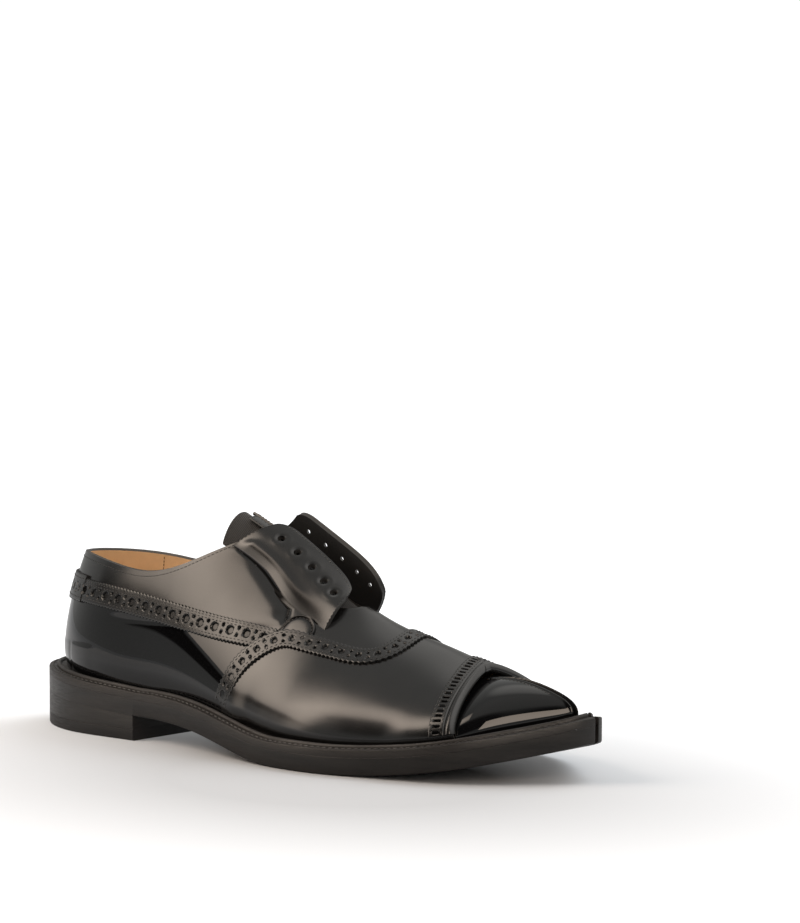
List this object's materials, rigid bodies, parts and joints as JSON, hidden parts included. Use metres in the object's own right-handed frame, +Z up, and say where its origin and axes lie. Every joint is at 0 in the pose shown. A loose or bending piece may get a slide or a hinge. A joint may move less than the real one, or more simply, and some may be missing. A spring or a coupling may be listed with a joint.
{
  "type": "split-toe derby shoe",
  "caption": "Low leather dress shoe with open lacing, a split pointed toe under an arched vamp edge, punched strips and a low stacked heel, shown without laces.",
  "frame": {"origin": "middle of the shoe's length and width, on the floor it stands on", "axes": "+X along the foot towards the toe, +Y towards the inner (medial) side, +Z up"},
  "size_m": [0.2999, 0.1076, 0.0996],
  "materials": {
    "upper_leather": "polished black",
    "toe_leather": "patent black",
    "strip_leather": "polished black, punched",
    "tongue_cloth": "matt black",
    "insole_leather": "plain tan",
    "sole_leather": "dressed black edge",
    "lift_rubber": "matt black"
  },
  "bodies": {
    "root": {"upper": "upper_leather", "toe_piece": "toe_leather", "wing_strip": "strip_leather", "quarter_strip": "strip_leather", "vamp_edge_strip": "strip_leather", "tongue": "tongue_cloth", "insole": "insole_leather", "welt": "sole_leather", "outsole": "sole_leather", "heel_block": "sole_leather", "top_lift": "lift_rubber"}
  },
  "joints": []
}
